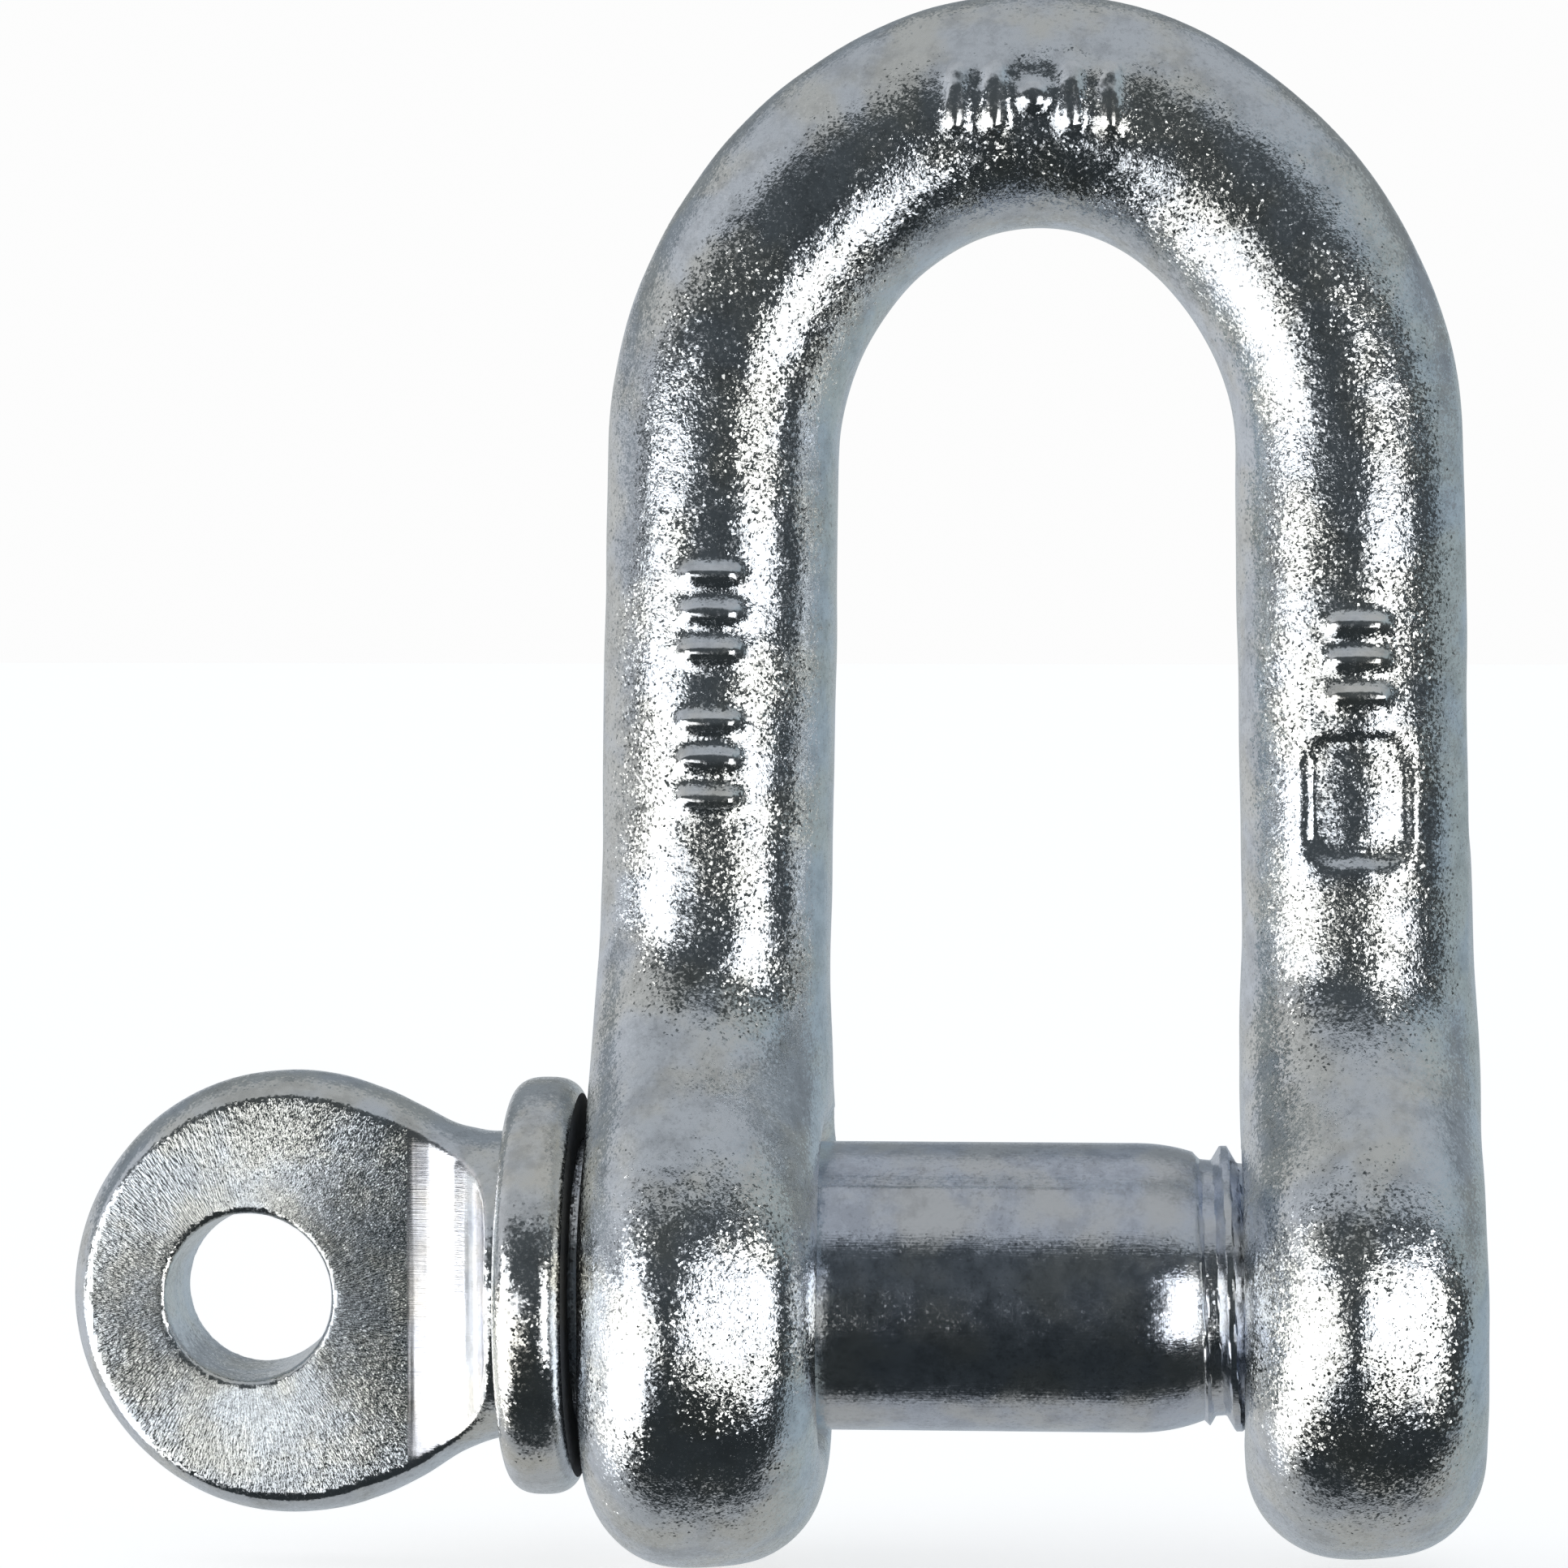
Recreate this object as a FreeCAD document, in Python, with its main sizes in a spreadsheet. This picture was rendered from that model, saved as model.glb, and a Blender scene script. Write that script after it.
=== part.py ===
import FreeCAD, Part
import Sketcher
import math
import os
from FreeCAD import Placement, Rotation, Vector

# Screw-pin dee shackle, 16 mm stock with a 20 mm pin.
#
# Frame: millimetres, +Z up towards the crown, X along the pin with its head at -X, Y through the
# shackle. The origin is on the pin's axis, midway between the two ears.

X_AXIS = Vector(1, 0, 0)
Y_AXIS = Vector(0, 1, 0)
Z_AXIS = Vector(0, 0, 1)
ALONG_X = Rotation(Y_AXIS, 90)  # turns an object's own +Z to point along +X
IN_YZ = Rotation(Vector(1, 1, 1), 120)  # own X lies on Y, own Y on Z, own Z on X

SIZES = {
    # bow: one round bar bent to a D
    "stock_diameter": 16.0,
    "crown_half_width": 21.55,  # to the middle of the bar
    "crown_rise": 23.5,
    "spring_height": 57.5,
    "leg_splay": 0.95,  # degrees that each leg leans outwards going down
    # the ears at the feet of the legs
    "plain_ear_radius": 19.6,
    "tapped_ear_radius": 18.5,
    "flare_radius": 16.0,
    "ear_thickness": 16.5,
    "ear_neck_width": 15.8,  # where the ear has narrowed to the bar
    "ear_edge_radius": 6.9,
    "bar_edge_radius": 7.8,
    "ear_block_height": 30.0,
    "plain_hole_radius": 11.2,
    "plain_mouth_radius": 12.4,
    "tapped_hole_radius": 8.7,
    "tapped_mouth_radius": 10.4,
    # the screw thread
    "thread_pitch": 2.5,
    "crest_radius": 9.85,
    "root_radius": 8.45,
    "nut_root_radius": 10.15,
    "thread_first_groove": 11.05,
    # pin
    "pin_radius": 10.0,
    "shank_end": 6.8,
    "shoulder_end": 11.7,
    "shoulder_radius": 9.1,
    "pin_tip": 30.4,
    "tip_chamfer": 1.3,
    # collar
    "collar_radius": 14.6,
    "collar_inner_face": -31.4,
    "collar_thickness": 4.9,
    "collar_edge_radius": 2.2,
    "collar_gap": 0.03,
    # eye tab
    "neck_radius": 10.7,
    "tab_centre": -51.5,
    "tab_drop": 0.7,
    "tab_radius": 15.5,
    "tab_half_bulge": 9.7,
    "tab_thickness": 9.0,
    "tab_flat_end": -37.2,
    "tab_flat_fillet": 5.2,
    "eye_centre": -54.2,
    "eye_radius": 5.8,
}

doc = FreeCAD.newDocument("dee_shackle")
sheet = doc.addObject("Spreadsheet::Sheet", "sizes")
for row, (alias, value) in enumerate(SIZES.items(), start=1):
    sheet.set(f"A{row}", alias)
    sheet.set(f"B{row}", str(value))
    sheet.setAlias(f"B{row}", alias)
doc.recompute()


def size(alias):
    """A driving dimension, read from the sheet."""
    return float(sheet.get(alias))


def add(kind, name, placement=None, **links):
    """A new object. Text that starts with "sizes." is bound to the sheet, the rest is set as given."""
    thing = doc.addObject(kind, name)
    if placement is not None:
        thing.Placement = placement
    for prop, value in links.items():
        if str(value).startswith("sizes."):
            thing.setExpression(prop, value)
        else:
            setattr(thing, prop, value)
    return thing


def fuse(name, shapes):
    return add("Part::MultiFuse", name, Shapes=shapes, Refine=True)


def cut(name, base, tool):
    return add("Part::Cut", name, Base=base, Tool=tool, Refine=False)


def round_edges(name, base, radii):
    """Part::Fillet on the edges for which radii(edge) gives a start and an end radius."""
    doc.recompute()
    chosen = []
    for number, edge in enumerate(base.Shape.Edges, start=1):
        pair = radii(edge)
        if pair:
            chosen.append((number, *pair))
    return add("Part::Fillet", name, Base=base, Edges=chosen)


# ---- bow ----------------------------------------------------------------------------------


def crown_end():
    """The angle on the crown's ellipse at which it is tangent to a splayed leg, and that point."""
    rise, half_width = size("crown_rise"), size("crown_half_width")
    slope = math.tan(math.radians(size("leg_splay")))
    angle = math.atan(slope * rise / half_width)
    x = half_width * math.cos(angle)
    z = size("spring_height") + rise * math.sin(angle)
    return math.degrees(angle), x, z


def leg_foot():
    """Where a leg's middle line crosses the height of the pin's axis."""
    _, x, z = crown_end()
    return x + z * math.tan(math.radians(size("leg_splay")))


def leg_frame(side):
    """Own +Z runs up the leg's middle line from the pin's height. side is -1 or +1 along X."""
    lean = Rotation(Y_AXIS, -side * size("leg_splay"))
    return Placement(Vector(side * leg_foot(), 0, 0), lean)


def make_crown():
    """The round bar swept over a half ellipse, from the top of one leg to the top of the other."""
    trim, x, z = crown_end()
    upside_down = Rotation(-Z_AXIS, X_AXIS, -Y_AXIS, "XYZ")  # own X, the long axis, points down
    middle = add(
        "Part::Ellipse",
        "crown_line",
        Placement(Vector(0, 0, size("spring_height")), upside_down),
        MajorRadius="sizes.crown_rise",
        MinorRadius="sizes.crown_half_width",
        Angle1=90 + trim,
        Angle2=270 - trim,
    )
    section = add(
        "Part::Circle",
        "crown_section",
        Placement(Vector(x, 0, z), Rotation(Y_AXIS, -size("leg_splay"))),
        Radius="sizes.stock_diameter / 2",
    )
    doc.recompute()
    return add("Part::Sweep", "crown", Sections=[section], Spine=(middle, ["Edge1"]), Solid=True)


def make_leg(side):
    """The straight round bar between the ear block and the crown."""
    foot = leg_frame(side)
    _, _, z = crown_end()
    length = z / math.cos(math.radians(size("leg_splay"))) - size("ear_block_height")
    start = foot.multiply(Placement(Vector(0, 0, size("ear_block_height")), Rotation()))
    return add(
        "Part::Cylinder",
        "leg_left" if side < 0 else "leg_right",
        start,
        Radius="sizes.stock_diameter / 2",
        Height=length,
    )


def ear_outline(name, radius_alias):
    """The ear seen along the pin: a disc that flares into the bar through two concave arcs."""
    disc = size(radius_alias)
    half = size("ear_neck_width") / 2
    flare = size("flare_radius")
    top = size("ear_block_height")
    flare_y = half + flare
    flare_z = math.sqrt((disc + flare) ** 2 - flare_y**2)
    reach = disc / (disc + flare)
    touch = Vector(flare_y * reach, flare_z * reach, 0)
    sketch = add("Sketcher::SketchObject", name, Placement(Vector(), IN_YZ))

    def arc(centre, radius, start, end):
        circle = Part.Circle(centre, Z_AXIS, radius)
        angles = [math.atan2(p.y - centre.y, p.x - centre.x) for p in (start, end)]
        return sketch.addGeometry(Part.ArcOfCircle(circle, *angles))

    def line(start, end):
        return sketch.addGeometry(Part.LineSegment(start, end))

    left_touch = Vector(-touch.x, touch.y, 0)
    bar_right, bar_left = Vector(half, flare_z, 0), Vector(-half, flare_z, 0)
    round_rim = arc(Vector(), disc, left_touch, touch)
    right_flare = arc(Vector(flare_y, flare_z, 0), flare, bar_right, touch)
    right_side = line(bar_right, Vector(half, top, 0))
    head = line(Vector(half, top, 0), Vector(-half, top, 0))
    left_side = line(Vector(-half, top, 0), bar_left)
    left_flare = arc(Vector(-flare_y, flare_z, 0), flare, left_touch, bar_left)
    rules = [
        ("Coincident", round_rim, 3, -1, 1),
        ("Tangent", round_rim, 2, right_flare, 2),
        ("Tangent", right_flare, 1, right_side, 1),
        ("Coincident", right_side, 2, head, 1),
        ("Coincident", head, 2, left_side, 1),
        ("Tangent", left_side, 2, left_flare, 2),
        ("Tangent", left_flare, 1, round_rim, 1),
        ("Vertical", right_side),
        ("Vertical", left_side),
        ("Equal", right_flare, left_flare),
        ("Symmetric", head, 1, head, 2, -2),
    ]
    for rule in rules:
        sketch.addConstraint(Sketcher.Constraint(*rule))
    driven = [
        (("Radius", round_rim, disc), f"sizes.{radius_alias}"),
        (("Radius", right_flare, flare), "sizes.flare_radius"),
        (("DistanceX", head, 2, head, 1, 2 * half), "sizes.ear_neck_width"),
        (("DistanceY", -1, 1, head, 1, top), "sizes.ear_block_height"),
    ]
    for rule, expression in driven:
        number = sketch.addConstraint(Sketcher.Constraint(*rule))
        sketch.setExpression(f"Constraints[{number}]", expression)
    doc.recompute()
    return sketch


def make_ear(name, side, radius_alias):
    """The outline, a little thicker than the bar, its edges rounded until its top is round."""
    outline = ear_outline(name + "_outline", radius_alias)
    blank = add(
        "Part::Extrusion",
        name + "_blank",
        Base=outline,
        DirMode="Custom",
        Dir=X_AXIS,
        LengthFwd="sizes.ear_thickness",
        Symmetric=True,
        Solid=True,
    )
    top = size("ear_block_height")
    ear_edge, bar_edge = size("ear_edge_radius"), size("bar_edge_radius")

    def radii(edge):
        box = edge.BoundBox
        across = box.XLength > 1e-6
        if across or box.ZMin > top - 1e-3:
            return None
        if box.ZMax < top - 1e-3:
            return ear_edge, ear_edge
        upwards = edge.Vertexes[-1].Point.z > edge.Vertexes[0].Point.z
        return (ear_edge, bar_edge) if upwards else (bar_edge, ear_edge)

    ear = round_edges(name, blank, radii)
    ear.Placement = leg_frame(side)
    return ear


def cone_mouth(name, x, inwards, inner, outer):
    """A 45 degree mouth whose wide end stands 1 mm clear of the ear's face at x."""
    clear = 1.0
    depth = size(outer) - size(inner)
    start = Vector(x - inwards * clear, 0, 0)
    turn = ALONG_X if inwards > 0 else Rotation(Y_AXIS, -90)
    return add(
        "Part::Cone",
        name,
        Placement(start, turn),
        Radius1=f"sizes.{outer} + {clear}",
        Radius2=f"sizes.{inner}",
        Height=depth + clear,
    )


def bore_tool(name, start, length, expression):
    placement = Placement(Vector(start, 0, 0), ALONG_X)
    return add("Part::Cylinder", name, placement, Radius=expression, Height=length)


def thread_cutter(name, start, length, inner, inner_half, outer, outer_half):
    """A right-hand helical ridge of trapezoid section about the X axis, centred on x = start where
    it crosses +Y. inner_half and outer_half are its half widths at the two radii."""
    helix = add(
        "Part::Helix",
        name + "_line",
        Placement(Vector(start, 0, 0), IN_YZ),
        Pitch="sizes.thread_pitch",
        Height=length,
        Radius=(inner + outer) / 2,
        LocalCoord=0,
    )
    corners = [(-inner_half, inner), (inner_half, inner), (outer_half, outer), (-outer_half, outer)]
    section = add("Part::Feature", name + "_section")
    section.Shape = Part.makePolygon([Vector(start + x, r, 0) for x, r in corners + corners[:1]])
    doc.recompute()
    spine = (helix, ["Edge1"])
    return add(
        "Part::Sweep", name, Sections=[section], Spine=spine, Solid=True, Frenet=True
    )


FLANK = math.tan(math.radians(30))
ROOT_HALF = 0.2  # half width of the pin's thread root
NUT_ROOT_HALF = 0.25
CREST_CLEARANCE = 0.25  # how far the cutter of the pin's thread reaches beyond the crest
NUT_CLEARANCE = 0.2  # how far the cutter of the nut's thread reaches inside the bore
CLEAR = 2.0  # how far a tool starts before, or ends after, what it cuts


def make_bow():
    plain = make_ear("ear_plain", -1, "plain_ear_radius")
    tapped = make_ear("ear_tapped", 1, "tapped_ear_radius")
    blank = fuse("bow_blank", [make_crown(), make_leg(-1), make_leg(1), plain, tapped])
    half = size("ear_thickness") / 2
    inner, outer = leg_foot() - half, leg_foot() + half
    through = outer - inner + 2 * CLEAR
    plain_tools = [
        bore_tool("plain_bore", -outer - CLEAR, through, "sizes.plain_hole_radius"),
        cone_mouth("plain_mouth_out", -outer, 1, "plain_hole_radius", "plain_mouth_radius"),
        cone_mouth("plain_mouth_in", -inner, -1, "plain_hole_radius", "plain_mouth_radius"),
    ]
    # The nut thread's grooves lie half a pitch from the pin's, so its ridges fill them.
    nut_start = size("thread_first_groove") + size("thread_pitch") / 2
    nut_inner = size("tapped_hole_radius") - NUT_CLEARANCE
    nut_outer = size("nut_root_radius")
    nut_half = NUT_ROOT_HALF + (nut_outer - nut_inner) * FLANK
    nut_length = outer + CLEAR - nut_start
    tapped_tools = [
        thread_cutter(
            "nut_thread", nut_start, nut_length, nut_inner, nut_half, nut_outer, NUT_ROOT_HALF
        ),
        cone_mouth("tapped_mouth_in", inner, 1, "tapped_hole_radius", "tapped_mouth_radius"),
        cone_mouth("tapped_mouth_out", outer, -1, "tapped_hole_radius", "tapped_mouth_radius"),
        bore_tool("tapped_bore", inner - CLEAR, through, "sizes.tapped_hole_radius"),
    ]
    bored = cut("bow_bored", blank, fuse("plain_tools", plain_tools))
    for number, tool in enumerate(tapped_tools, start=1):
        bored = cut(f"bow_tapped_{number}", bored, tool)
    return bored


# ---- pin ----------------------------------------------------------------------------------


BLOCK = 40.0  # larger than the tab, for the blocks that cut its faces flat and for its eye
SHOULDER_BULGE = 0.16  # how far the shoulder stands out from a straight cone
FIRST_CREST = 0.8  # length over which the first crest rises to full height


def make_head():
    """The eye tab and its neck: a flattened bulb, its two faces cut flat, pierced by the eye."""
    centre, drop = size("tab_centre"), -size("tab_drop")
    bulb = add(
        "Part::Ellipsoid",
        "tab_bulb",
        Placement(Vector(centre, 0, drop), Rotation()),
        Radius1="sizes.tab_radius",
        Radius2="sizes.tab_radius",
        Radius3="sizes.tab_half_bulge",
        Angle1=-90,
        Angle2=90,
        Angle3=360,
    )
    neck = size("neck_radius")
    start = size("collar_inner_face") - size("collar_thickness") - size("collar_gap")
    # Each station of the neck: how far it is from the collar, its half height, half depth and drop.
    stations = [
        (0.0, neck, neck, 0.0),
        (1.6, neck + 0.2, neck - 0.1, 0.25),
        (3.8, neck + 0.9, neck - 0.4, 0.5),
        (5.9, neck + 1.9, neck - 0.8, 0.65),
        (8.4, neck + 2.7, neck - 1.5, 0.7),
    ]
    rings = []
    for number, (back, half_height, half_depth, dropped) in enumerate(stations, start=1):
        upright = half_height >= half_depth
        turn = Rotation(Vector(0, 0, 1), Vector(1, 0, 0)) if upright else IN_YZ
        ring = add(
            "Part::Ellipse",
            f"neck_ring_{number}",
            Placement(Vector(start - back, 0, -dropped), turn),
            MajorRadius=max(half_height, half_depth) + 1e-4,
            MinorRadius=min(half_height, half_depth),
        )
        rings.append(ring)
    neck_loft = add("Part::Loft", "neck", Sections=rings, Solid=True)
    blank = fuse("head_blank", [bulb, neck_loft])
    tools = []
    for side, label in ((-1, "front"), (1, "rear")):
        flat_y = side * size("tab_thickness") / 2
        low_y = flat_y if side > 0 else flat_y - BLOCK
        box = add(
            "Part::Box",
            f"tab_{label}_box",
            Placement(Vector(size("tab_flat_end") - BLOCK, low_y, -BLOCK / 2), Rotation()),
            Length=BLOCK,
            Width=BLOCK,
            Height=BLOCK,
        )
        fillet = size("tab_flat_fillet")

        def radii(edge, flat_y=flat_y, fillet=fillet):
            box = edge.BoundBox
            at_corner = abs(box.XMin - size("tab_flat_end")) < 1e-6 and box.XLength < 1e-6
            on_flat = abs(box.YMin - flat_y) < 1e-6 and box.YLength < 1e-6
            return (fillet, fillet) if at_corner and on_flat else None

        tools.append(round_edges(f"tab_{label}_flat", box, radii))
    eye = add(
        "Part::Cylinder",
        "eye_hole",
        Placement(Vector(size("eye_centre"), -BLOCK / 2, drop), Rotation(X_AXIS, -90)),
        Radius="sizes.eye_radius",
        Height=BLOCK,
    )
    head = blank
    for number, tool in enumerate([*tools, eye], start=1):
        head = cut(f"head_cut_{number}", head, tool)
    return head


def make_shank():
    """Plain shank, domed shoulder and threaded end as one turned profile about X."""
    head_end = size("collar_inner_face") - size("collar_thickness") - size("collar_gap")
    tip, chamfer = size("pin_tip"), size("tip_chamfer")
    shank, crest = size("pin_radius"), size("crest_radius")
    shank_end, shoulder_end = size("shank_end"), size("shoulder_end")
    shoulder = size("shoulder_radius")
    bulge = Vector((shank_end + shoulder_end) / 2, (shank + shoulder) / 2 + SHOULDER_BULGE, 0)
    full = shoulder_end + FIRST_CREST
    outline = [
        Part.LineSegment(Vector(head_end, 0, 0), Vector(head_end, shank, 0)),
        Part.LineSegment(Vector(head_end, shank, 0), Vector(shank_end, shank, 0)),
        Part.Arc(Vector(shank_end, shank, 0), bulge, Vector(shoulder_end, shoulder, 0)),
        Part.LineSegment(Vector(shoulder_end, shoulder, 0), Vector(full, crest, 0)),
        Part.LineSegment(Vector(full, crest, 0), Vector(tip - chamfer, crest, 0)),
        Part.LineSegment(Vector(tip - chamfer, crest, 0), Vector(tip, crest - chamfer, 0)),
        Part.LineSegment(Vector(tip, crest - chamfer, 0), Vector(tip, 0, 0)),
        Part.LineSegment(Vector(tip, 0, 0), Vector(head_end, 0, 0)),
    ]
    profile = add("Part::Feature", "shank_profile")
    profile.Shape = Part.Face(Part.Wire([curve.toShape() for curve in outline]))
    turned = add("Part::Revolution", "shank_turned", Source=profile, Axis=X_AXIS, Angle=360.0, Solid=True)
    start = size("thread_first_groove")
    inner = size("root_radius")
    outer = crest + CREST_CLEARANCE
    outer_half = ROOT_HALF + (outer - inner) * FLANK
    groove = thread_cutter(
        "pin_thread", start, tip + CLEAR - start, inner, ROOT_HALF, outer, outer_half
    )
    return cut("shank", turned, groove)


def make_pin():
    return fuse("pin", [make_shank(), make_head()])


def make_collar():
    """The round flange that seats on the plain ear."""
    start = size("collar_inner_face") - size("collar_thickness")
    disc = add(
        "Part::Cylinder",
        "collar_disc",
        Placement(Vector(start, 0, 0), ALONG_X),
        Radius="sizes.collar_radius",
        Height="sizes.collar_thickness",
    )
    edge_radius = size("collar_edge_radius")

    def radii(edge):
        return (edge_radius, edge_radius) if edge.BoundBox.XLength < 1e-6 else None

    rounded = round_edges("collar_rounded", disc, radii)
    bore = bore_tool(
        "collar_bore", start - 1, size("collar_thickness") + 2, "sizes.pin_radius + sizes.collar_gap"
    )
    return cut("collar", rounded, bore)


# ---- write the parts ------------------------------------------------------------------------

nodes = {"bow": make_bow(), "screw_pin": make_pin(), "pin_collar": make_collar()}
for label, node in nodes.items():
    node.Label = label
doc.recompute()

for thing in doc.Objects:
    broken = {"Invalid", "Error"} & set(thing.State)
    if broken:
        raise RuntimeError(f"{thing.Name} did not build: {sorted(broken)}")
for label, node in nodes.items():
    shape = node.Shape
    if shape.isNull() or not shape.isValid() or len(shape.Solids) != 1:
        raise RuntimeError(f"{label} is not one valid solid")

os.makedirs("parts", exist_ok=True)
for label, node in nodes.items():
    node.Shape.exportStep(f"parts/{label}.step")
    box = node.Shape.BoundBox
    print(f"{label}: volume {node.Shape.Volume:.0f} mm3, box {box}")
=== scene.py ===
import math

import bpy
import numpy as np
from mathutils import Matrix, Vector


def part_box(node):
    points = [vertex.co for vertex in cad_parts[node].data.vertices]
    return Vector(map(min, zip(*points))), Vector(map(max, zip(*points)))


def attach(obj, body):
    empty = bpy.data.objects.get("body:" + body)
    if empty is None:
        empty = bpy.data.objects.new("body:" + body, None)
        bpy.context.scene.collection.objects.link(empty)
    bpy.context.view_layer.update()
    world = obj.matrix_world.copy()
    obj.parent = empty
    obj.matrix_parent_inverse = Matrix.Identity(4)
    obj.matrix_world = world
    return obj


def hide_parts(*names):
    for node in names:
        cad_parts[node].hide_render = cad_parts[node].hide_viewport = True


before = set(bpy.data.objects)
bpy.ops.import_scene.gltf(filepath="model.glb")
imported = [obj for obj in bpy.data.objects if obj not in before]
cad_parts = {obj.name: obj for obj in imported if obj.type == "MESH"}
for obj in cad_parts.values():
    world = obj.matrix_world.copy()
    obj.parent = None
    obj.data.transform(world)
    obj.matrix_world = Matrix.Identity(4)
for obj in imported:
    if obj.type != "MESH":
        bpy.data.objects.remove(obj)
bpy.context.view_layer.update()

import openvdb
from mathutils import Vector

# Forged, bright zinc plated dee shackle with its screw pin. Shapes are worked out in millimetres,
# in the frame of the CAD model: X along the pin, Z up to the crown, origin on the pin's axis.

MM = 0.001
BOW_VOXEL, HEAD_VOXEL = 0.48, 0.30  # size of the grid cells that the forgings are made from
RELAX_SHARES, RELAX_ROUNDS = [0.5, -0.52], 6  # in and out again, so that nothing shrinks
PLAIN_STEP, DOME_STEP, THREAD_STEP, TAP_STEP = 0.7, 0.25, 0.13, 0.18  # between a lathe's rings
SHANK_SIDES, TAP_SIDES, COLLAR_SIDES = 160, 128, 192
COLLAR_RIM_POINTS = 31


def cad_box(node):
    """Lowest and highest corner of a CAD node, in millimetres."""
    return [np.array(corner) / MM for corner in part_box(node)]


BOW_LOW, BOW_HIGH = cad_box("bow")
PIN_LOW, PIN_HIGH = cad_box("screw_pin")
COLLAR_LOW, COLLAR_HIGH = cad_box("pin_collar")

# Bow
BAR_RADIUS = 8.0  # in the plane of the bow, where the flash has been trimmed off
BAR_FRONT_RADIUS = 8.25  # elsewhere round the bar
CROWN_HALF_WIDTH = 21.55  # to the middle of the bar
SPRING_HEIGHT = 57.5
CROWN_RISE = BOW_HIGH[2] - BAR_RADIUS - SPRING_HEIGHT
LEG_SPLAY = math.radians(0.95)
SHOULDER_SAG = 0.28  # how far the crown's shoulders lie inside its ellipse
RIGHT_TRIM = 0.3  # how much further the outside of the right leg is trimmed
EAR_HALF_THICKNESS = 8.25
EAR_NECK = 7.9  # half width where the ear has narrowed to the bar
EAR_RADIUS = {-1: -BOW_LOW[2], 1: 18.5}  # the plain ear is at -X, the tapped one at +X
FLARE_RADIUS = 16.0
EAR_RIDGE = {-1: -1.8, 1: -0.8}  # where along X the ridge of each ear's rim lies
FACET_TILT = {-1: math.radians(29), 1: math.radians(18)}  # the facets that face -X and +X
RIDGE_ROUNDING = 1.2
FACET_CORNER = {-1: 4.6, 1: 3.2}  # radius of their outer corners
BOTTOM_TILT, BOTTOM_CORNER = math.radians(5), 6.0  # the same, under the ear
EAR_TAPER, EAR_TOP = 14.0, 31.0  # where the ear starts to narrow to the bar, and where it ends
EAR_ROUND = 20.0  # height at which the ear's section has become the round bar
EAR_ROUND_GAP = 0.05  # what its corners leave flat there
EAR_UNDER = (0.1, 0.95)  # share of straight down over which its edge turns to that under the ear
PLAIN_HOLE_RADIUS = 11.2
TAPPED_HOLE_RADIUS = 8.7
MOUTH_DEPTH = {-1: 1.2, 1: 1.7}
MOUTH_BLEND, HOLE_EDGE = 0.1, 0.35  # rounding between hole and mouth, and of the edge in the ear
NO_HOLE = 50.0  # a distance from a hole at which it cuts nothing
TRIM_EDGE = 0.25  # rounding between the round bar and its trimmed flash
BOW_SHRINK, BOW_SOFTENING = 0.06, 4  # keeps its waves inside the CAD box; rounds of blurring

# Plain raised marks on the front of the bow, and a sunken panel on its right leg
MARK_HEIGHT = 0.6
MARKS_FRONT = (1.5, 3.0)  # they fade in this far in front of the bow's middle plane
CROWN_MARK_DROP = 7.6  # from the top of the bow to the middle of its marks
CROWN_BARS = (-5.2, -2.6, 2.6, 5.2)
CROWN_BAR_HALF_LENGTH, CROWN_BAR_RADIUS = 1.8, 0.6
CROWN_DOT_RADIUS = 0.9
LEG_BAR_RADIUS = 0.55
LEG_BARS = (  # side of the bow, place across the leg, half length, heights on the leg
    (-1, 0.0, 1.6, (34.0, 36.6, 39.2, 44.0, 46.6, 49.2)),
    (1, 0.2, 1.5, (41.0, 43.4, 45.8)),
)
PANEL_MIDDLE = (0.1, 34.0)  # across and up the right leg
PANEL_HALF_SIZE, PANEL_CORNER = (1.6, 2.6), 1.6
PANEL_DEPTH = 0.9  # of the mark height
RAISED_EDGE, SUNKEN_EDGE = (-0.3, 0.35), (-0.3, 0.5)  # distances over which they rise and sink
FAR = 9.0  # a distance that reaches no mark

# Screw thread
PITCH = 2.5
FIRST_GROOVE = 11.05
ROOT_RADIUS = 8.45
CREST_RADIUS = 9.85
NUT_ROOT_RADIUS = 10.15
TAP_CORE_GAP = 0.15  # how far inside the hole's surface the tap lies between its ridges
FLANK = math.tan(math.radians(30))

# Pin
PIN_RADIUS = 10.0
SHANK_END = 6.8
SHOULDER_END = 11.7
SHOULDER_RADIUS = 9.1
SHOULDER_CURVE = 2.2
FIRST_CREST = 0.8  # length over which the first crest rises to full height
RUN_OUT = 0.5  # how much shallower the first groove is
ROOT_HALF = 0.2
NUT_ROOT_HALF = 0.25
SEAM_ANGLE = math.radians(132)  # a faint forging seam along the shank, from +Y towards +Z
SEAM_HEIGHT, SEAM_HALF_WIDTH = 0.09, 0.32
SEAM_START, SEAM_FADE = -30.0, 6.0  # it fades in and out over this length
SHANK_SHRINK = 0.04  # keeps the seam inside the collar's bore
TIP_CHAMFER = 1.3
TAB_THICKNESS = 9.0
TAB_RADIUS = 15.5
TAB_HALF_BULGE = 9.7
TAB_CENTRE = PIN_LOW[0] + TAB_RADIUS
TAB_DROP = 0.7
TAB_FLAT_END = -37.2
TAB_FLAT_FILLET = 5.9
TAB_DOME = 0.65  # how much lower a tab face is at its far rim than at its middle
EYE_CENTRE = -54.2
EYE_RADIUS = 5.8
COLLAR_POWER = 2.7  # of the superellipse that is the section of its rim
COLLAR_GAP = 0.03
COLLAR_TOP_WEAR = 0.3  # how much lower the collar's rim is at the top
NECK_BACK = (0.0, 1.6, 3.8, 5.9, 8.4)  # distances from the collar
NECK_HALF_HEIGHT = (10.6, 10.8, 11.5, 12.5, 13.3)
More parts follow.
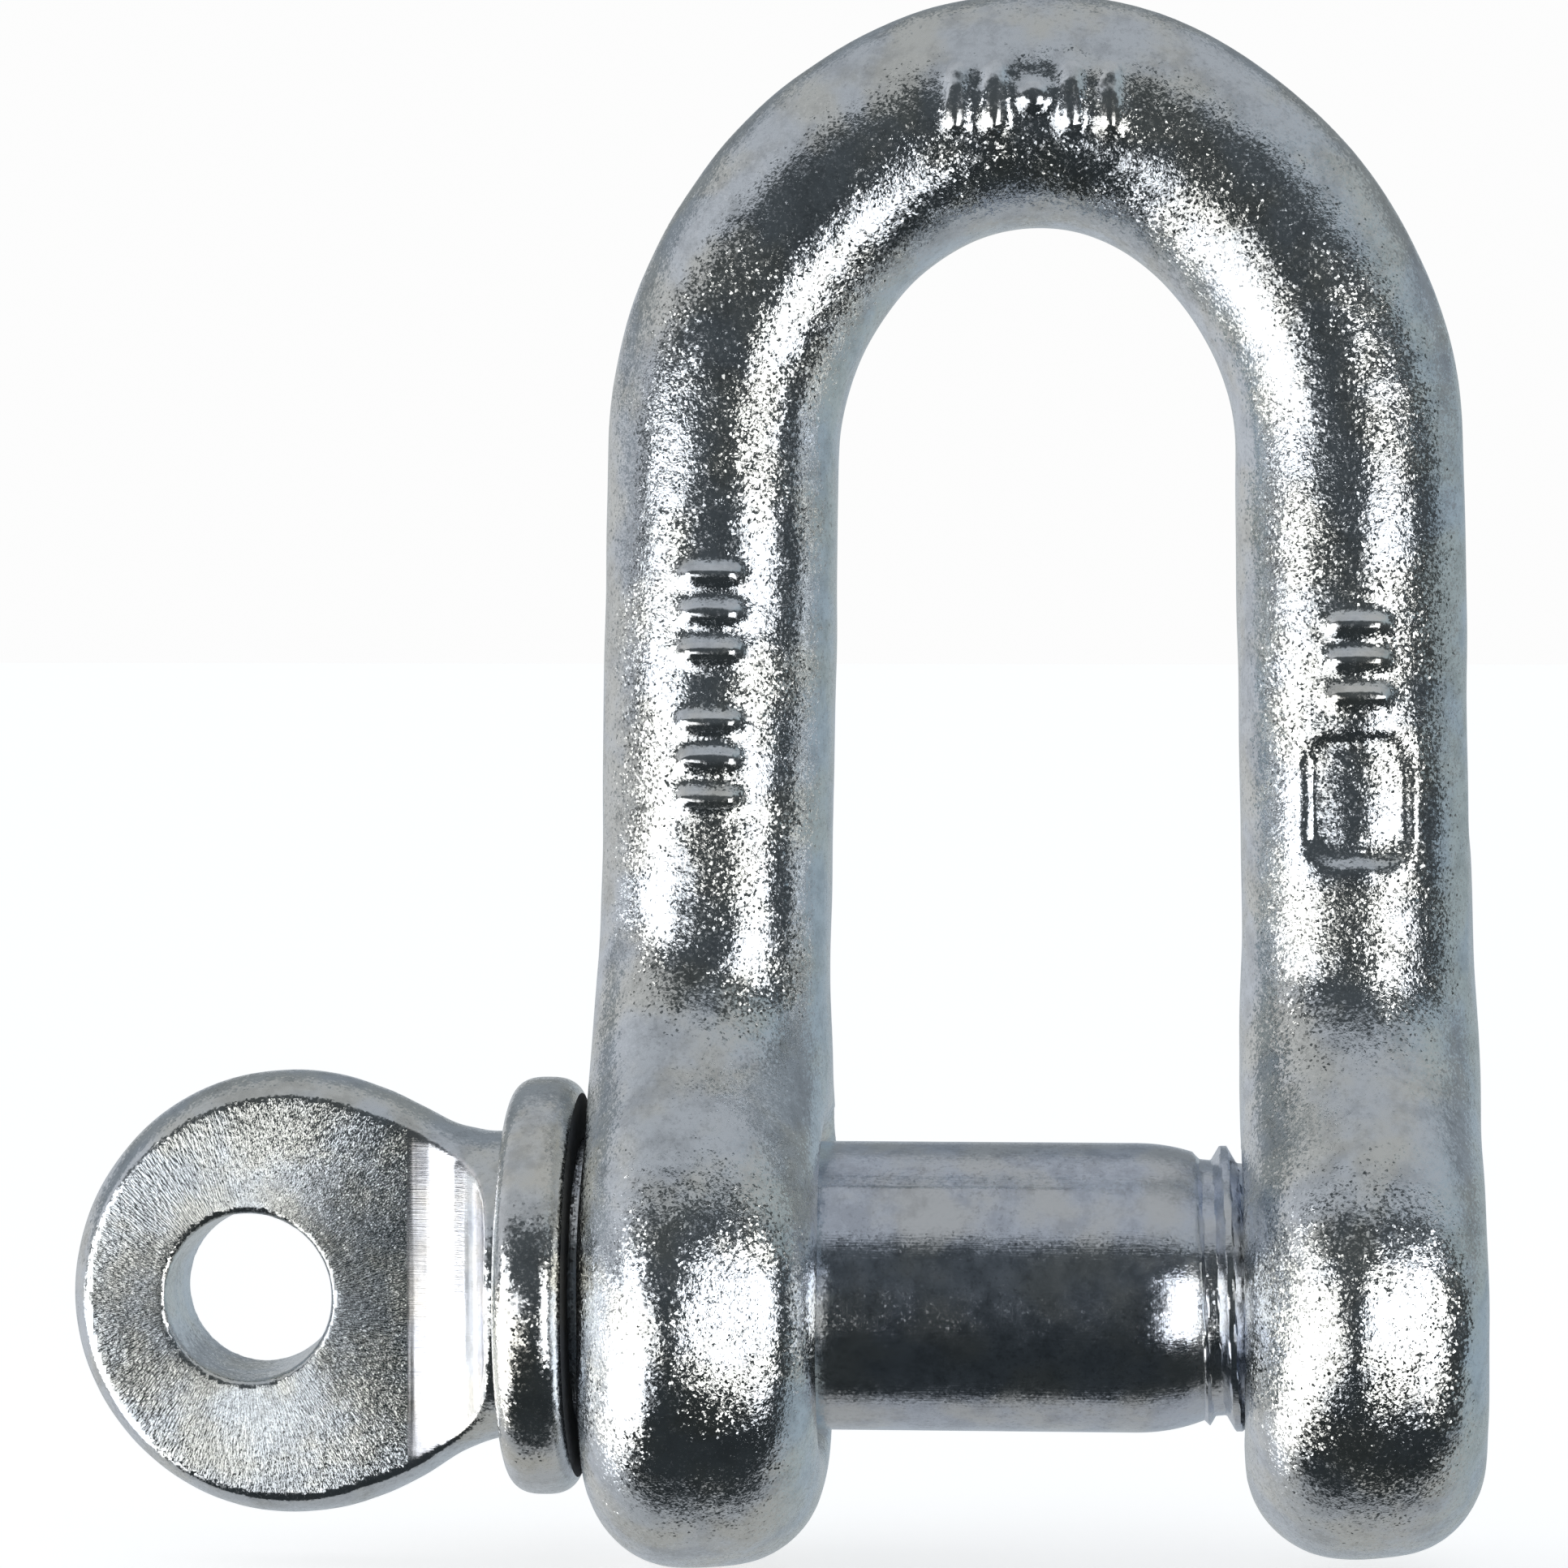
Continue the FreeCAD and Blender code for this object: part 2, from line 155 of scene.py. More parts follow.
NECK_HALF_DEPTH = (10.6, 10.5, 10.2, 9.8, 9.1)
NECK_DROP = (0.0, 0.25, 0.5, 0.65, 0.7)
NECK_INSIDE = 2.5  # how far the neck reaches into the collar
HEAD_HALF_DEPTH = 11.0  # more than the head's own
EYE_DRAFT = 0.05  # how much narrower the eye gets per millimetre towards the back
NECK_BLEND, FLAT_EDGE, EYE_EDGE = 1.0, 0.3, 0.5  # rounding of tab to neck, and of cut edges
HEAD_WAVES = 0.5  # the head's unevenness as a share of the bow's
HEAD_SHRINK, HEAD_SOFTENING = 0.05, 3  # as for the bow


# ---- solids as distance fields -------------------------------------------------------------------


def smooth_min(a, b, blend):
    share = np.clip(0.5 + 0.5 * (b - a) / blend, 0, 1)
    return b + (a - b) * share - blend * share * (1 - share)


def smooth_max(a, b, blend):
    return -smooth_min(-a, -b, blend)


def rounded_edge(a, b, radius):
    """What lies in both a and b, with the edge between them rounded."""
    inside = np.minimum(np.maximum(a, b) + radius, 0)
    return inside + np.hypot(np.maximum(a + radius, 0), np.maximum(b + radius, 0)) - radius


def step(low, high, value):
    """0 below low, 1 above high, smooth between."""
    share = np.clip((value - low) / (high - low), 0, 1)
    return share * share * (3 - 2 * share)


def crown_end():
    """Where a leg meets the crown: the angle on the crown's ellipse, and the point in X and Z."""
    angle = math.atan(math.tan(LEG_SPLAY) * CROWN_RISE / CROWN_HALF_WIDTH)
    x = CROWN_HALF_WIDTH * math.cos(angle)
    return angle, x, SPRING_HEIGHT + CROWN_RISE * math.sin(angle)


END_ANGLE, END_X, END_Z = crown_end()
FOOT_X = END_X + END_Z * math.tan(LEG_SPLAY)  # middle of a leg at the pin's height


def leg_coordinates(x, z):
    """Across and up a leg's middle line, from the pin's height. x is the distance from the YZ plane."""
    across = (x - FOOT_X) * math.cos(LEG_SPLAY) + z * math.sin(LEG_SPLAY)
    up = z * math.cos(LEG_SPLAY) - (x - FOOT_X) * math.sin(LEG_SPLAY)
    return across, up


def crown_offset(x, z):
    """Distance outwards from the crown's ellipse."""
    up = z - SPRING_HEIGHT
    angle = np.arctan2(CROWN_HALF_WIDTH * up, CROWN_RISE * x)
    for _ in range(5):
        cos, sin = np.cos(angle), np.sin(angle)
        off_x, off_z = x - CROWN_HALF_WIDTH * cos, up - CROWN_RISE * sin
        run_x, run_z = -CROWN_HALF_WIDTH * sin, CROWN_RISE * cos
        slope = off_x * run_x + off_z * run_z
        bend = run_x**2 + run_z**2 + off_x * CROWN_HALF_WIDTH * cos + off_z * CROWN_RISE * sin
        angle = angle + np.clip(slope / np.maximum(bend, 20.0), -0.3, 0.3)
        angle = np.clip(angle, END_ANGLE, math.pi - END_ANGLE)
    off_x = x - CROWN_HALF_WIDTH * np.cos(angle)
    off_z = up - CROWN_RISE * np.sin(angle)
    outwards = np.sign(off_x * np.cos(angle) + off_z * np.sin(angle))
    sag = SHOULDER_SAG * np.sin(2 * angle) ** 2
    return np.hypot(off_x, off_z) * outwards + sag


def bar_offset(x, z):
    """Distance in the plane of the bow from the bar's middle line, positive outwards."""
    side = np.abs(x)
    across, up = leg_coordinates(side, z)
    beyond = np.maximum(up - END_Z, 0) + np.maximum(-up, 0)
    to_leg = np.hypot(across, beyond) * np.where(across < 0, -1, 1)
    to_crown = crown_offset(side, z)
    return np.where(np.abs(to_leg) < np.abs(to_crown), to_leg, to_crown)


def bar(x, y, z):
    """The round bar, a little flat on the inside and outside where its flash was trimmed."""
    offset = bar_offset(x, z)
    round_bar = np.sqrt(offset**2 + y**2) - BAR_FRONT_RADIUS
    trim = RIGHT_TRIM * step(0, 20, x) * step(0, 4, offset)
    return smooth_max(round_bar, np.abs(offset) + trim - BAR_RADIUS, TRIM_EDGE)


def ear_outline(y, up, radius):
    """A disc that flares into the bar through two concave arcs, seen along the pin."""
    centre_y = EAR_NECK + FLARE_RADIUS
    centre_up = math.sqrt((radius + FLARE_RADIUS) ** 2 - centre_y**2)
    y = np.abs(y)
    disc = np.hypot(y, up) - radius
    strip = np.where(up > 0, y - EAR_NECK, radius)
    from_y, from_up = y - centre_y, up - centre_up
    beside_bar = from_up <= 0
    above_disc = from_y * centre_up - from_up * centre_y <= 0
    flare = FLARE_RADIUS - np.hypot(from_y, from_up)
    plain = np.minimum(disc, strip)
    return np.where(beside_bar & above_disc & (from_y < 0), flare, plain)


def ear(x, y, z, side):
    """The ear at one foot of the bow, its edges rounded until its top is round bar."""
    across, up = leg_coordinates(x * side, z)
    outline = ear_outline(y, up, EAR_RADIUS[side])
    narrowed = step(EAR_TAPER, EAR_TOP, up)
    half = EAR_HALF_THICKNESS + (EAR_NECK - EAR_HALF_THICKNESS) * narrowed
    ridge = EAR_RIDGE[side] * (1 - narrowed)
    from_ridge = across * side - ridge
    rise = np.sqrt(from_ridge**2 + RIDGE_ROUNDING**2) - RIDGE_ROUNDING
    faces_right = from_ridge > 0
    room = np.where(faces_right, half - ridge, half + ridge)
    downwards = step(*EAR_UNDER, -up / np.hypot(y, up))
    upwards = step(0.0, EAR_ROUND, up)
    tilt = np.where(faces_right, FACET_TILT[1], FACET_TILT[-1])
    tilt = (tilt + (BOTTOM_TILT - tilt) * downwards) * (1 - upwards)
    corner = np.where(faces_right, FACET_CORNER[1], FACET_CORNER[-1])
    corner = corner + (BOTTOM_CORNER - corner) * downwards
    corner = corner + (room - EAR_ROUND_GAP - corner) * upwards
    facet = outline * np.cos(tilt) + rise * np.sin(tilt)
    return np.maximum(rounded_edge(facet, np.abs(from_ridge) - room, corner), up - EAR_TOP)


def hole(x, y, z, side):
    """The hole in one ear, with its 45 degree mouths."""
    radius = PLAIN_HOLE_RADIUS if side < 0 else TAPPED_HOLE_RADIUS
    from_face = EAR_HALF_THICKNESS - np.abs(x * side - FOOT_X)
    mouth = np.maximum(MOUTH_DEPTH[side] - from_face, 0)
    bore = np.hypot(y, z) - radius
    return smooth_min(bore, (bore - mouth) / math.sqrt(2), MOUTH_BLEND)


def forging(x, y, z):
    """Slow unevenness of a drop forging, in millimetres."""
    waves = 0.035 * np.sin(0.41 * x + 0.29 * y + 0.23 * z + 1.0)
    waves = waves + 0.03 * np.sin(-0.27 * x + 0.62 * y + 0.37 * z + 2.2)
    waves = waves + 0.02 * np.sin(0.83 * x - 0.47 * y + 0.71 * z + 4.1)
    return waves + 0.012 * np.sin(1.7 * x + 1.3 * y - 1.1 * z)


def soften(field, rounds):
    """Rounds every edge of a solid by blurring its distance field."""
    for _ in range(rounds):
        for axis in range(3):
            before = np.roll(field, 1, axis)
            after = np.roll(field, -1, axis)
            field = (before + 2 * field + after) / 4
    return field


def capsule(u, v, middle_u, middle_v, half_u, half_v, radius):
    """Distance outside a rounded bar that is drawn on a flat u, v."""
    out_u = np.maximum(np.abs(u - middle_u) - half_u, 0)
    out_v = np.maximum(np.abs(v - middle_v) - half_v, 0)
    return np.hypot(out_u, out_v) - radius


def marks(x, y, z):
    """The marks' height as a share of MARK_HEIGHT: 1 on bars and dot, below 0 in the panel."""
    across, up = leg_coordinates(np.abs(x), z)
    crown_height = BOW_HIGH[2] - CROWN_MARK_DROP
    nearest = capsule(x, z, 0.0, crown_height, 0.0, 0.0, CROWN_DOT_RADIUS)
    for place in CROWN_BARS:
        here = capsule(x, z, place, crown_height, 0.0, CROWN_BAR_HALF_LENGTH, CROWN_BAR_RADIUS)
        nearest = np.minimum(nearest, here)
    for side, place, half_length, heights in LEG_BARS:
        for height in heights:
            here = capsule(across, up, place, height, half_length, 0.0, LEG_BAR_RADIUS)
            nearest = np.minimum(nearest, np.where(x * side > 0, here, FAR))
    panel = capsule(across, up, *PANEL_MIDDLE, *PANEL_HALF_SIZE, PANEL_CORNER)
    sunken = 1 - step(*SUNKEN_EDGE, np.where(x > 0, panel, FAR))
    raised = 1 - step(*RAISED_EDGE, nearest)
    return (raised - PANEL_DEPTH * sunken) * step(*MARKS_FRONT, -y)


def bow_field(x, y, z):
    forged = np.minimum(bar(x, y, z), np.minimum(ear(x, y, z, -1), ear(x, y, z, 1)))
    forged = soften(forged + forging(x, y, z) + BOW_SHRINK, BOW_SOFTENING)
    forged = forged - MARK_HEIGHT * marks(x, y, z)
    for side in (-1, 1):
        drill = hole(x, y, z, side)
        in_this_ear = np.where(x * side > 0, drill, NO_HOLE)
        forged = smooth_max(forged, -in_this_ear, HOLE_EDGE)
    return forged


def neck(x, y, z):
    """The neck between the collar and the eye tab: an ellipse that grows taller and thinner."""
    back = np.clip(COLLAR_LOW[0] - x, 0, NECK_BACK[-1])
    half_height = np.interp(back, NECK_BACK, NECK_HALF_HEIGHT)
    half_depth = np.interp(back, NECK_BACK, NECK_HALF_DEPTH)
    drop = np.interp(back, NECK_BACK, NECK_DROP)
    reach = np.sqrt(((z + drop) / half_height) ** 2 + (y / half_depth) ** 2)
    side = (reach - 1) * np.minimum(half_height, half_depth)
    ends = np.maximum(x - (COLLAR_LOW[0] + NECK_INSIDE), COLLAR_LOW[0] - NECK_BACK[-1] - x)
    return np.maximum(side, ends)


def tab_bulb(x, y, z):
    scale = [TAB_RADIUS, TAB_HALF_BULGE, TAB_RADIUS]
    place = [x - TAB_CENTRE, y, z + TAB_DROP]
    near = np.sqrt(sum((p / s) ** 2 for p, s in zip(place, scale)))
    far = np.sqrt(sum((p / s**2) ** 2 for p, s in zip(place, scale)))
    return near * (near - 1) / np.maximum(far, 1e-3)


def head_field(x, y, z):
    forged = smooth_min(tab_bulb(x, y, z), neck(x, y, z), NECK_BLEND)
    forged = soften(forged + HEAD_WAVES * forging(x, y, z) + HEAD_SHRINK, HEAD_SOFTENING)
    from_middle = np.hypot(x - TAB_CENTRE, z + TAB_DROP) / TAB_RADIUS
    beside = TAB_THICKNESS / 2 - TAB_DOME * from_middle**2 - np.abs(y)
    flats = rounded_edge(beside, x - TAB_FLAT_END, TAB_FLAT_FILLET)
    forged = smooth_max(forged, -flats, FLAT_EDGE)
    eye_radius = EYE_RADIUS - EYE_DRAFT * (y + TAB_THICKNESS / 2)
    eye = np.hypot(x - EYE_CENTRE, z + TAB_DROP) - eye_radius
    return smooth_max(forged, -eye, EYE_EDGE)


# ---- from fields and profiles to meshes ----------------------------------------------------------


def relax(points, faces, rounds):
    """Evens out a mesh without shrinking it."""
    ends = np.vstack([faces[:, [i, (i + 1) % faces.shape[1]]] for i in range(faces.shape[1])])
    start, end = np.hstack([ends[:, 0], ends[:, 1]]), np.hstack([ends[:, 1], ends[:, 0]])
    count = np.bincount(start, minlength=len(points))[:, None]
    for share in RELAX_SHARES * rounds:
        total = np.stack(
            [np.bincount(start, points[end, axis], len(points)) for axis in range(3)], axis=1
        )
        points = points + share * (total / count - points)
    return points


def new_object(name, points, faces):
    """An object from points in millimetres."""
    mesh = bpy.data.meshes.new(name)
    mesh.from_pydata((np.asarray(points) * MM).tolist(), [], [list(map(int, f)) for f in faces])
    mesh.update()
    piece = bpy.data.objects.new(name, mesh)
    bpy.context.scene.collection.objects.link(piece)
    return piece


def field_object(name, field, low, high, voxel):
    """The surface on which a distance field is zero."""
    margin = 4 * voxel
    axes = [np.arange(a - margin, b + margin, voxel) for a, b in zip(low, high)]
    x, y, z = np.meshgrid(*axes, indexing="ij", sparse=True)
    grid = openvdb.FloatGrid()
    grid.copyFromArray(np.ascontiguousarray(field(x, y, z), dtype=np.float32))
    points, _, quads = grid.convertToPolygons(isovalue=0.0, adaptivity=0.0)
    points = np.array([axis[0] for axis in axes]) + np.asarray(points, float) * voxel
    quads = np.asarray(quads)
    return new_object(name, relax(points, quads, RELAX_ROUNDS), quads)


def thread_radius(x, angle, root, root_half, start):
    """Radius of a right-hand thread's flanks and roots. angle is from +Y towards +Z."""
    turn = np.mod(angle / (2 * math.pi), 1.0)
    along = (x - start) / PITCH - turn
    nearest = np.maximum(np.round(along), 0)
    off = np.abs(along - nearest) * PITCH
    return root + np.maximum(off - root_half, 0) / FLANK


def lathe_object(name, stations, radius, around):
    """A closed turned solid about X. radius(x, angle) gives its surface at each station."""
    angle = np.arange(around) * 2 * math.pi / around
    x, turn = np.meshgrid(stations, angle, indexing="ij")
    reach = radius(x, turn)
    ring_points = np.stack([x, reach * np.cos(turn), reach * np.sin(turn)], axis=2)
    ends = [[stations[0], 0, 0], [stations[-1], 0, 0]]
    points = np.vstack([ring_points.reshape(-1, 3), ends])
    rings = len(stations)
    faces = []
    for ring in range(rings - 1):
        for i in range(around):
            j = (i + 1) % around
            a, b = ring * around, (ring + 1) * around
            faces.append((a + i, a + j, b + j, b + i))
    first, last = rings * around, rings * around + 1
    for i in range(around):
        j = (i + 1) % around
        faces.append((first, j, i))
        faces.append((last, (rings - 1) * around + i, (rings - 1) * around + j))
    return new_object(name, points, faces)


def combine(piece, other, operation):
    """A boolean between two closed meshes. The other one is used up."""
    modifier = piece.modifiers.new("combine", "BOOLEAN")
    modifier.operation = operation
    modifier.solver = "MANIFOLD"
    modifier.object = other
    graph = bpy.context.evaluated_depsgraph_get()
    made = bpy.data.meshes.new_from_object(piece.evaluated_get(graph))
    piece.modifiers.clear()
    piece.data = made
    bpy.data.objects.remove(other)


def smooth(piece, angle):
    piece.data.shade_smooth()
    piece.data.set_sharp_from_angle(angle=math.radians(angle))


# ---- bow -----------------------------------------------------------------------------------------


def make_tap():
    """What the nut thread takes out of the tapped ear."""
    start = FIRST_GROOVE + PITCH / 2
    low, high = FOOT_X - BAR_RADIUS - 1.0, FOOT_X + BAR_RADIUS + 1.0
    stations = np.arange(low, high, TAP_STEP)

    def radius(x, angle):
        ridge = NUT_ROOT_RADIUS - thread_radius(x, angle, 0.0, NUT_ROOT_HALF, start)
        return np.maximum(ridge, TAPPED_HOLE_RADIUS - TAP_CORE_GAP)

    return lathe_object("tap", stations, radius, TAP_SIDES)


def make_bow():
    bow = field_object("bow_forging", bow_field, BOW_LOW, BOW_HIGH, BOW_VOXEL)
    combine(bow, make_tap(), "DIFFERENCE")
    smooth(bow, 40)
    return bow


# ---- pin -----------------------------------------------------------------------------------------


def make_shank():
    """Plain shank with a domed shoulder, and the threaded end."""
    start, tip = COLLAR_LOW[0] + 1.0, PIN_HIGH[0]
    plain = np.arange(start, SHANK_END, PLAIN_STEP)
    dome = np.arange(SHANK_END, SHOULDER_END, DOME_STEP)
    threaded = np.arange(SHOULDER_END, tip, THREAD_STEP)
    stations = np.hstack([plain, dome, threaded, [tip]])

    def radius(x, angle):
        share = np.clip((x - SHANK_END) / (SHOULDER_END - SHANK_END), 0, 1)
        dome_radius = PIN_RADIUS - (PIN_RADIUS - SHOULDER_RADIUS) * share**SHOULDER_CURVE
        crest = np.clip((x - SHOULDER_END) / FIRST_CREST, 0, 1)
        crest = SHOULDER_RADIUS + (CREST_RADIUS - SHOULDER_RADIUS) * crest
        crest = crest - np.maximum(x - tip + TIP_CHAMFER, 0)
        body = np.where(x < SHOULDER_END, dome_radius, crest)
        shallow = RUN_OUT * np.clip(1 - (x - FIRST_GROOVE) / (2 * PITCH), 0, 1)
        root_half = ROOT_HALF + shallow * FLANK
        flank = thread_radius(x, angle, ROOT_RADIUS + shallow, root_half, FIRST_GROOVE)
        begun = step(SEAM_START, SEAM_START + SEAM_FADE, x)
        ended = step(SHANK_END - SEAM_FADE, SHANK_END, x)
        off_seam = (angle - SEAM_ANGLE) * PIN_RADIUS / SEAM_HALF_WIDTH
        seam = SEAM_HEIGHT * np.exp(-(off_seam**2)) * (begun * (1 - ended))
        return np.minimum(body, flank) + seam - SHANK_SHRINK

    return lathe_object("shank", stations, radius, SHANK_SIDES)


def make_pin():
    low = [PIN_LOW[0], -HEAD_HALF_DEPTH, -TAB_RADIUS - TAB_DROP]
    high = [COLLAR_LOW[0] + NECK_INSIDE, HEAD_HALF_DEPTH, TAB_RADIUS]
    pin = field_object("screw_pin_forging", head_field, low, high, HEAD_VOXEL)
    combine(pin, make_shank(), "UNION")
    smooth(pin, 35)
    return pin


def make_collar():
    """The round flange, turned from a barrel-shaped profile."""
    low, high = COLLAR_LOW[0], COLLAR_HIGH[0]
    outer, inner = COLLAR_HIGH[2], PIN_RADIUS + COLLAR_GAP
    middle, half = (low + high) / 2, (high - low) / 2
    profile = [(low, inner)]
    for turn in np.linspace(0, math.pi, COLLAR_RIM_POINTS):
        along = -math.copysign(abs(math.cos(turn)) ** (2 / COLLAR_POWER), math.cos(turn))
        out = math.sin(turn) ** (2 / COLLAR_POWER)
        profile.append((middle + half * along, outer - half + half * out))
    profile.append((high, inner))
    points, faces = [], []
    for i in range(COLLAR_SIDES):
        angle = 2 * math.pi * i / COLLAR_SIDES
        wear = COLLAR_TOP_WEAR * (0.5 + 0.5 * math.sin(angle)) ** 2
        for x, r in profile:
            r = r - wear * max(r - PIN_RADIUS, 0) / (outer - PIN_RADIUS)
            points.append((x, r * math.cos(angle), r * math.sin(angle)))
    count = len(profile)
    for i in range(COLLAR_SIDES):
        j = (i + 1) % COLLAR_SIDES
        for k in range(count):
            m = (k + 1) % count
            faces.append((i * count + k, j * count + k, j * count + m, i * count + m))
    collar = new_object("pin_collar_forging", points, faces)
    smooth(collar, 50)
    return collar


# ---- materials -----------------------------------------------------------------------------------


class Nodes:
    """Short names for the shader nodes of one material or world."""

    def __init__(self, tree):
        self.nodes, self.links = tree.nodes, tree.links

    def add(self, kind, sockets=None, **settings):
        node = self.nodes.new("ShaderNode" + kind)
        for name, value in settings.items():
            setattr(node, name, value)
        for socket, value in (sockets or {}).items():
            self.feed(value, node.inputs[socket])
        return node

    def feed(self, value, socket):
        if isinstance(value, bpy.types.NodeSocket):
            self.links.new(value, socket)
        else:
            socket.default_value = value

    def maths(self, operation, *values):
        return self.add("Math", dict(enumerate(values)), operation=operation).outputs[0]

    def ease(self, value, low, high, first=0.0, second=1.0):
        """first below low, second above high, smooth between."""
        sockets = {"Value": value, "From Min": low, "From Max": high, "To Min": first, "To Max": second}
        return self.add("MapRange", sockets, interpolation_type="SMOOTHSTEP").outputs["Result"]

    def mix(self, share, first, second):
        """A blend of two colours."""
        first, second = [(*c, 1.0) if isinstance(c, tuple) else c for c in (first, second)]
        return self.add("Mix", {"Factor": share, 6: first, 7: second}, data_type="RGBA").outputs[2]

    def noise(self, place, size, detail=2.0, rough=0.5):
        """Cloudy noise, 0 to 1, with features of about this size in millimetres."""
        sockets = {"Vector": place, "Scale": 1 / (size * MM), "Detail": detail, "Roughness": rough}
        return self.add("TexNoise", sockets).outputs["Fac"]

    def stretched(self, place, sizes):
        """A place whose millimetres along X, Y and Z are counted in the given sizes."""
        scale = [1 / length for length in sizes]
        return self.add("Mapping", {"Vector": place, "Scale": scale}).outputs["Vector"]

    def facets(self, place, size, tilt, normal):
        """Turns the normal a little, at random in each small cell, with only a few cells far."""
        sockets = {"Vector": place, "Scale": 1 / (size * MM)}
        cell = self.add("TexVoronoi", sockets).outputs["Color"]
        lean = self.vector("SUBTRACT", cell, (0.5, 0.5, 0.5))
        lean = self.vector("MULTIPLY", lean, self.vector("MULTIPLY", lean, lean))
        most = self.maths("MULTIPLY", tilt, 8.0)
        lean = self.add("VectorMath", {0: lean, "Scale": most}, operation="SCALE").outputs[0]
        return self.vector("NORMALIZE", self.vector("ADD", normal, lean))

    def vector(self, operation, *values):
        return self.add("VectorMath", dict(enumerate(values)), operation=operation).outputs[0]

    def bump(self, height, distance, strength, below=None):
        sockets = {"Height": height, "Distance": distance * MM, "Strength": strength}
        if below is not None:
            sockets["Normal"] = below
        return self.add("Bump", sockets).outputs["Normal"]


FACET_SIZE = 0.17
ROUGH_GRAIN = 0.34  # roughness of the dullest grains of a forged surface
STROKES_IN_A_RADIAN = 68.75  # on the tab's faces, so strokes 0.16 mm wide at a reach of 11 mm
STROKE_LENGTH = 0.55


def start_material(name):
    material = bpy.data.materials.new(name)
    material.use_nodes = True
    make = Nodes(material.node_tree)
    shader = make.nodes["Principled BSDF"]
    shader.inputs["Metallic"].default_value = 1.0
    return material, make, shader, make.add("TexCoord").outputs["Object"]


def stained(make, place, colour, dark):
    """The plating's colour, with faint warm and cool clouds, and darker smudges and pits."""
    warm = tuple(c * s for c, s in zip(colour, (1.02, 0.99, 0.93)))
    cool = tuple(c * s for c, s in zip(colour, (0.97, 0.99, 1.03)))
    clouds = make.ease(make.noise(place, 5.0, 4.0), 0.4, 0.62)
    worn = make.ease(make.noise(place, 9.0, 3.0), 0.42, 0.6, dark, 1.0)
    pits = make.ease(make.noise(place, 0.38, 3.0, 0.7), 0.36, 0.47)
    pits = make.maths("ADD", worn, make.maths("MULTIPLY", pits, make.maths("SUBTRACT", 1.0, worn)))
    smudges = make.ease(make.noise(place, 2.4, 7.0, 0.72), 0.36, 0.56, 0.80, 1.0)
    darker = make.maths("MULTIPLY", pits, smudges)
    tint = make.mix(clouds, cool, warm)
    shade = make.add("CombineColor", {0: darker, 1: darker, 2: darker}).outputs[0]
    both = {"Factor": 1.0, 6: tint, 7: shade}  # sockets 6 and 7 are the two colours
    return make.add("Mix", both, data_type="RGBA", blend_type="MULTIPLY").outputs[2]


def forged_zinc(name, colour, roughness, grains, tilt, dark):
    """Bright zinc on forged steel. grains are sizes and heights of its unevenness, in millimetres,
    and tilt is how far its crystals lean."""
    material, make, shader, place = start_material(name)
    make.feed(stained(make, place, colour, dark), shader.inputs["Base Color"])
    patches = make.ease(make.noise(place, 7.0, 3.0), 0.38, 0.62, 0.55, 1.15)
    rough = make.ease(make.noise(place, 0.26, 3.0, 0.7), 0.48, 0.68, roughness, ROUGH_GRAIN)
    make.feed(rough, shader.inputs["Roughness"])
    normal = None
    for size, height in grains:
        strength = patches if size < 1.0 else 1.0
        normal = make.bump(make.noise(place, size, 2.0, 0.6), height, strength, normal)
    lean = make.ease(make.noise(place, 5.0, 3.0), 0.38, 0.62, 0.6 * tilt, 1.25 * tilt)
    normal = make.facets(place, FACET_SIZE, lean, normal)
    make.feed(normal, shader.inputs["Normal"])
    return material


def drawn_zinc(name, colour, roughness):
    """Bright zinc on a smooth round bar, with fine scratches along it and round it."""
    material, make, shader, place = start_material(name)
    make.feed(stained(make, place, colour, 0.8), shader.inputs["Base Color"])
    rough = make.ease(make.noise(place, 1.2, 4.0), 0.3, 0.7, 0.8 * roughness, 1.3 * roughness)
    make.feed(rough, shader.inputs["Roughness"])
    along = make.noise(make.stretched(place, (2.6, 0.16, 0.16)), 1.0, 2.0, 0.6)
    around = make.noise(make.stretched(place, (0.12, 3.0, 3.0)), 1.0, 2.0, 0.6)
    normal = make.bump(along, 0.010, 1.0)
    normal = make.bump(around, 0.004, 1.0, normal)
    normal = make.bump(make.noise(place, 0.35, 3.0, 0.6), 0.012, 1.0, normal)
    normal = make.bump(make.noise(place, 3.0, 1.0), 0.05, 1.0, normal)
    normal = make.facets(place, FACET_SIZE, 0.06, normal)
    make.feed(normal, shader.inputs["Normal"])
    return material


def sheared_zinc(name, colour, roughness):
    """The hollow at the root of the eye tab: polished, with fine lines along the pin."""
    material, make, shader, place = start_material(name)
    make.feed(stained(make, place, colour, 0.9), shader.inputs["Base Color"])
    rough = make.ease(make.noise(place, 1.5, 3.0), 0.3, 0.7, 0.8 * roughness, 1.3 * roughness)
    make.feed(rough, shader.inputs["Roughness"])
    lines = make.noise(make.stretched(place, (3.5, 1.0, 0.09)), 1.0, 3.0, 0.6)
    ridges = make.noise(make.stretched(place, (0.5, 6.0, 12.0)), 1.0, 1.0)
    normal = make.bump(lines, 0.012, 1.0)
    normal = make.bump(ridges, 0.02, 1.0, normal)
    make.feed(normal, shader.inputs["Normal"])
    return material


